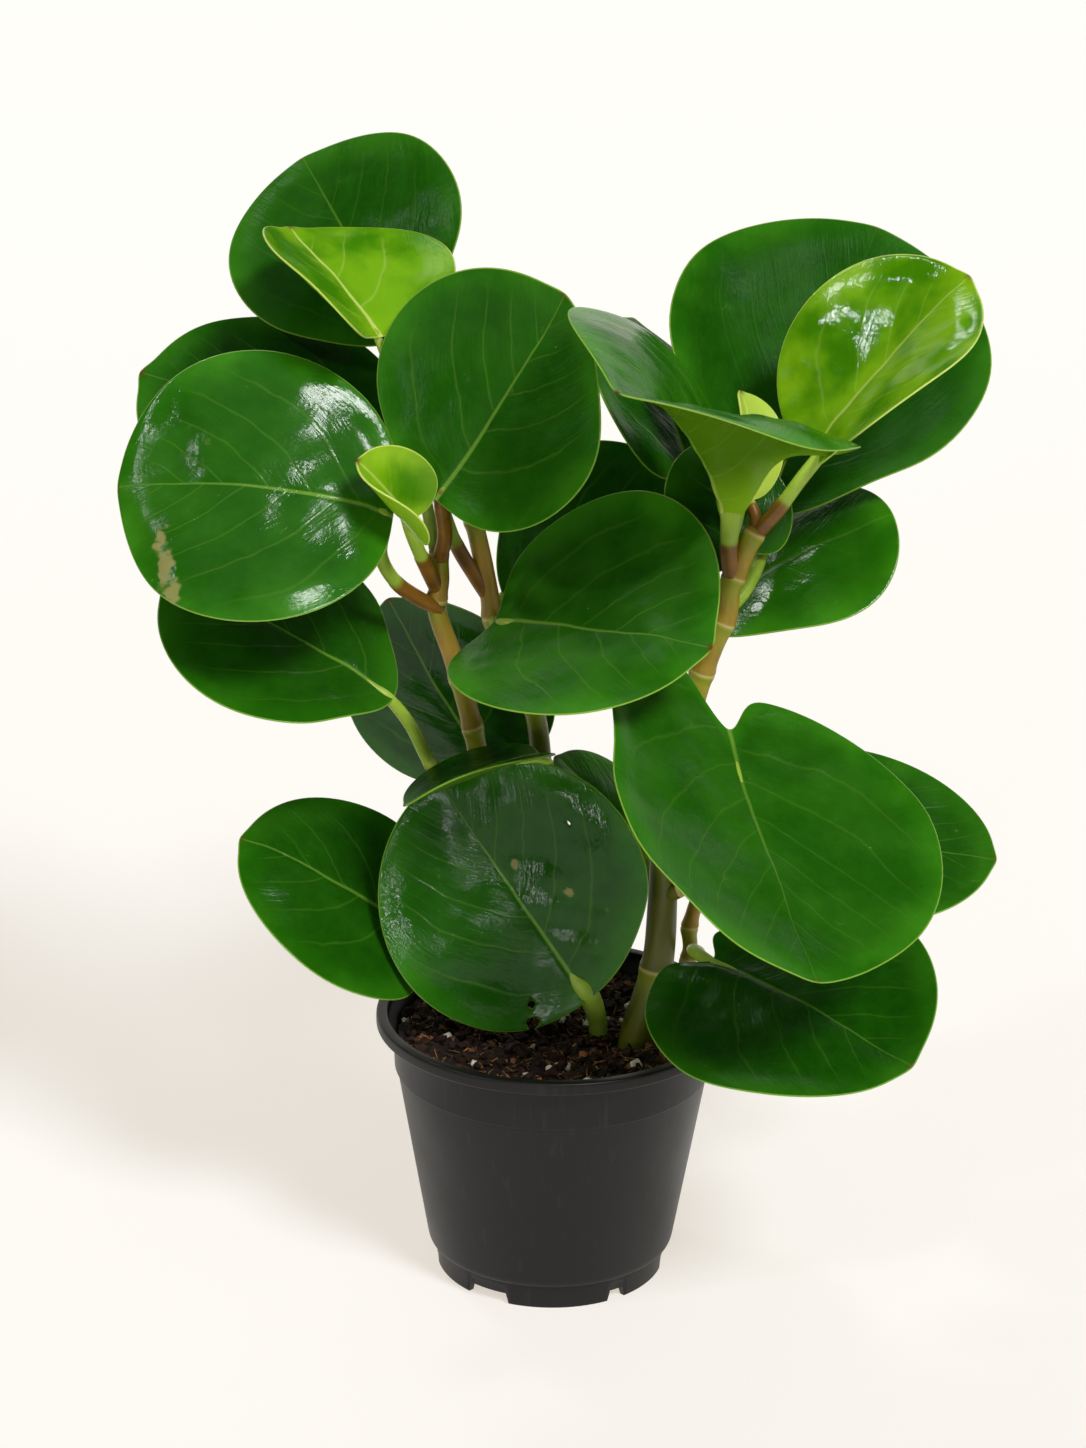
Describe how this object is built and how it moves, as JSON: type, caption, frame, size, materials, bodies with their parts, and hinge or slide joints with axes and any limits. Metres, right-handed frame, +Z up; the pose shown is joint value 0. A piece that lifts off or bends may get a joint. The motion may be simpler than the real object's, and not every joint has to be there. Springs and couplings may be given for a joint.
{
  "type": "potted rubber plant",
  "caption": "Bushy houseplant with thick round glossy leaves on ringed stems, rooted in a round tapered black plastic nursery pot of soil.",
  "frame": {"origin": "centre of the pot's foot, on the surface it stands on", "axes": "+Z up along the pot's axis, -Y towards the side of the plant seen in the picture, +X to that side's right"},
  "size_m": [0.2653, 0.1882, 0.3379],
  "materials": {
    "pot": "matt black moulded plastic with a fine grain",
    "soil": "dark peat potting mix",
    "stem": "smooth succulent stem, olive to golden brown",
    "leaf": "dark green satin leaf",
    "young_leaf": "light yellow-green satin leaf"
  },
  "bodies": {
    "root": {"pot": "pot", "soil": "soil", "stem_left": "stem", "stem_back": "stem", "stem_right": "stem", "stem_side_shoot": "stem", "leaf_top_left": "leaf", "leaf_young_folded": "young_leaf", "leaf_centre_top": "leaf", "leaf_small_cupped": "young_leaf", "leaf_left_large": "leaf", "leaf_left_back": "leaf", "leaf_left_low": "leaf", "leaf_behind_stems": "leaf", "leaf_centre": "leaf", "leaf_centre_back": "leaf", "leaf_right_inner": "leaf", "leaf_trumpet": "leaf", "leaf_right_young": "young_leaf", "leaf_right_large": "leaf", "leaf_right_side": "leaf", "leaf_back_upper": "leaf", "leaf_heart": "leaf", "leaf_right_low": "leaf", "leaf_over_rim": "leaf", "leaf_front_round": "leaf", "leaf_curled_over": "leaf", "leaf_left_lowest": "leaf", "leaf_small_inner": "leaf", "leaf_bud": "young_leaf"}
  },
  "joints": []
}
